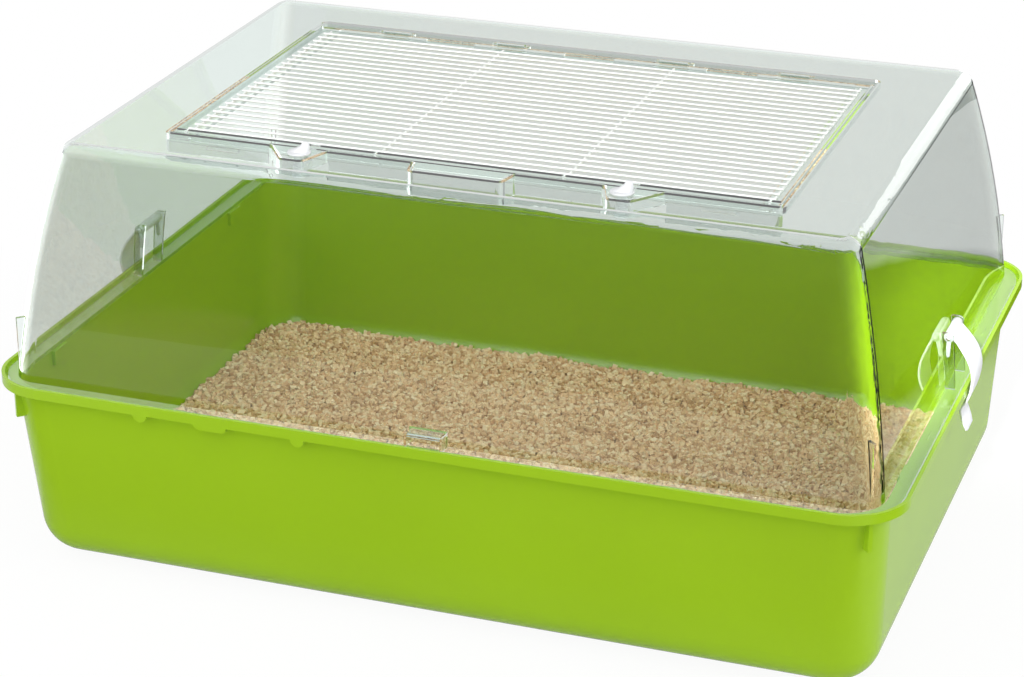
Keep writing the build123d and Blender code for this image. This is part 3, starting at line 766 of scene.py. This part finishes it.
def floor_finish():
    """Pale floor: white where the camera looks on, with a soft shadow that fades outwards, and bright in gloss
    away from the cage."""
    finish, nodes, links, shader = new_finish("pale_floor")
    step, ramp = partial(reckon, nodes, links), partial(grey_ramp, nodes, links)
    shader.inputs["Base Color"].default_value = FLOOR_GREY
    shader.inputs["Roughness"].default_value = 0.9
    shader.inputs["Specular IOR Level"].default_value = 0.0
    place = nodes.new("ShaderNodeTexCoord").outputs["Object"]
    axes = axes_of(nodes, links, place)
    length = nodes.new("ShaderNodeVectorMath")
    length.operation = "LENGTH"
    links.new(place, length.inputs[0])
    reach = step("DIVIDE", length.outputs["Value"], FLOOR_RADIUS)
    depth = step("ADD", axes["Y"], 0.5)
    slant = step("MULTIPLY_ADD", axes["X"], SLANT, depth)
    far_line = step("MULTIPLY_ADD", axes["X"], -FAR_SLOPE, axes["Y"])
    behind = step("MAXIMUM", ramp(depth, BEHIND_DEPTH), ramp(slant, BEHIND_SLANT))
    before = step("SUBTRACT", 1.0, behind)
    rear = step("MAXIMUM", ramp(reach, SHINE_REAR), ramp(axes["X"], SHINE_LEFT))
    rear = step("MAXIMUM", rear, ramp(far_line, SHINE_FAR))
    shine = step("ADD", step("MULTIPLY", rear, behind), step("MULTIPLY", ramp(reach, SHINE_FRONT), before))
    straight, in_gloss = seen_straight(nodes, links)
    white = nodes.new("ShaderNodeEmission")
    white.inputs["Color"].default_value = WHITE
    links.new(step("ADD", straight, step("MULTIPLY", shine, in_gloss)), white.inputs["Strength"])
    lit = step("MAXIMUM", step("MULTIPLY", ramp(reach, FLOOR_WHITE), straight), in_gloss)
    surface = mix_shaders(nodes, links, lit, shader.outputs["BSDF"], white.outputs["Emission"])
    links.new(surface, nodes["Material Output"].inputs["Surface"])
    return finish


def studio_world(strength):
    """Soft even light, white where the camera looks on, a studio's walls where gloss does."""
    world = bpy.data.worlds.new("surround")
    world.use_nodes = True
    nodes, links = world.node_tree.nodes, world.node_tree.links
    step, ramp = partial(reckon, nodes, links), partial(grey_ramp, nodes, links)
    soft = nodes["Background"]
    soft.inputs["Color"].default_value = WHITE
    soft.inputs["Strength"].default_value = strength
    white = nodes.new("ShaderNodeBackground")
    white.inputs["Color"].default_value = WHITE
    room = nodes.new("ShaderNodeBackground")
    axes = axes_of(nodes, links, nodes.new("ShaderNodeTexCoord").outputs["Generated"])
    across, depth, height = (step("MULTIPLY_ADD", axes[axis], 0.5, 0.5) for axis in "XYZ")
    behind = ramp(depth, ROOM_TURN)
    before = step("SUBTRACT", 1.0, behind)
    back = step("MAXIMUM", ramp(height, ROOM_BACK), ramp(across, ROOM_LEFT))
    walls = step("ADD", step("MULTIPLY", back, behind), step("MULTIPLY", ramp(height, ROOM_FRONT), before))
    links.new(walls, room.inputs["Strength"])
    straight, in_gloss = seen_straight(nodes, links)
    seen = mix_shaders(nodes, links, straight, soft.outputs["Background"], white.outputs["Background"])
    surface = mix_shaders(nodes, links, in_gloss, seen, room.outputs["Background"])
    links.new(surface, nodes["World Output"].inputs["Surface"])
    return world


def aim_at(lamp, place, aim):
    """Puts a lamp in its place and turns it to its aim."""
    lamp.location = place
    lamp.rotation_euler = (Vector(aim) - Vector(place)).to_track_quat("-Z", "Y").to_euler()


def add_area(name, place, aim, width, height, power):
    """Large soft area lamp aimed at a point."""
    data = bpy.data.lights.new(name, "AREA")
    data.shape = "RECTANGLE"
    data.size = width
    data.size_y = height
    data.energy = power
    lamp = place_object(name, data)
    aim_at(lamp, place, aim)
    return lamp


def add_lamp(name, place, aim, width, height, power):
    """Soft lamp that gloss doesn't show."""
    add_area(name, place, aim, width, height, power).visible_glossy = False


def add_panel(name, place, aim, width, height, power):
    """Bright panel that only glossy surfaces show, of a power per square metre."""
    panel = add_area(name, place, aim, width, height, power * width * height)
    panel.visible_camera = False
    panel.visible_diffuse = False
    panel.visible_transmission = False


def add_corner_lamp(power):
    """Small soft spot on the tray's far right corner."""
    data = bpy.data.lights.new("corner_lamp", "SPOT")
    data.energy = power
    data.spot_size = CORNER_ANGLE
    data.spot_blend = CORNER_BLEND
    data.shadow_soft_size = CORNER_RADIUS
    lamp = place_object("corner_lamp", data)
    aim_at(lamp, CORNER_PLACE, CORNER_AIM)
    lamp.visible_glossy = False


def add_camera():
    """Camera in the photographed view."""
    data = bpy.data.cameras.new("camera")
    data.sensor_width = 36.0
    data.lens = CAMERA_LENS
    data.clip_start = 0.05
    data.clip_end = 50.0
    camera = place_object("camera", data)
    forward, right = Vector(CAMERA_FORWARD).normalized(), Vector(CAMERA_RIGHT).normalized()
    turn = Matrix((right, right.cross(forward), -forward)).transposed()
    camera.matrix_world = Matrix.Translation(CAMERA_PLACE) @ turn.to_4x4()
    return camera


class CAGE_OT_set_stage(Operator):
    """Sets the floor, the soft light and the camera"""
    bl_idname = "cage.set_stage"
    bl_label = "Set stage"

    def execute(self, context):
        settings = context.scene.cage_stage
        scene = context.scene
        scene.view_settings.view_transform = "Standard"
        turns = [2 * math.pi * k / FLOOR_SIDES for k in range(FLOOR_SIDES)]
        rim = [(FLOOR_RADIUS * math.cos(turn), FLOOR_RADIUS * math.sin(turn), 0) for turn in turns]
        mesh = bpy.data.meshes.new("floor")
        mesh.from_pydata(rim, [], [tuple(range(FLOOR_SIDES))])
        mesh.materials.append(floor_finish())
        place_object("floor", mesh)
        scene.world = studio_world(settings.world_strength)
        shine = settings.shine_power
        add_lamp("key_lamp", *ABOVE_FRONT, settings.key_power)
        add_lamp("side_lamp", *AT_RIGHT, settings.side_power)
        add_panel("front_panel", *ABOVE_FRONT, shine)
        add_panel("left_panel", *AT_LEFT, shine * LEFT_SHINE)
        add_panel("rear_panel", *AT_REAR, shine * REAR_SHINE)
        add_corner_lamp(settings.corner_power)
        scene.camera = add_camera()
        return {"FINISHED"}


# ---------------------------------------------------------------- panel and registration

class CAGE_PT_panel(Panel):
    """Lists the cage's pieces and settings"""
    bl_idname = "CAGE_PT_panel"
    bl_label = "Small animal cage"
    bl_space_type = "VIEW_3D"
    bl_region_type = "UI"
    bl_category = "Cage"

    def draw(self, context):
        for operator in OPERATORS:
            self.layout.operator(operator.bl_idname)
        for settings in (context.scene.cage_finish, context.scene.cage_bedding, context.scene.cage_stage):
            box = self.layout.box()
            for name in settings.bl_rna.properties.keys():
                if name not in ("rna_type", "name"):
                    box.prop(settings, name)


OPERATORS = (CAGE_OT_finish_tray, CAGE_OT_fill_bedding, CAGE_OT_finish_hood, CAGE_OT_finish_door,
             CAGE_OT_fit_latches, CAGE_OT_fit_side_clips, CAGE_OT_set_stage)
SETTINGS = {"cage_finish": CageFinishSettings, "cage_bedding": BeddingSettings, "cage_stage": StageSettings}


def register():
    for settings in SETTINGS.values():
        bpy.utils.register_class(settings)
    for operator in OPERATORS:
        bpy.utils.register_class(operator)
    bpy.utils.register_class(CAGE_PT_panel)
    for name, settings in SETTINGS.items():
        setattr(bpy.types.Scene, name, PointerProperty(type=settings))


def unregister():
    for name in SETTINGS:
        delattr(bpy.types.Scene, name)
    bpy.utils.unregister_class(CAGE_PT_panel)
    for operator in reversed(OPERATORS):
        bpy.utils.unregister_class(operator)
    for settings in SETTINGS.values():
        bpy.utils.unregister_class(settings)


def main():
    register()
    bpy.ops.cage.finish_tray()
    bpy.ops.cage.fill_bedding()
    bpy.ops.cage.finish_hood()
    bpy.ops.cage.finish_door()
    bpy.ops.cage.fit_latches()
    bpy.ops.cage.fit_side_clips()
    bpy.ops.cage.set_stage()


if __name__ == "__main__":
    main()
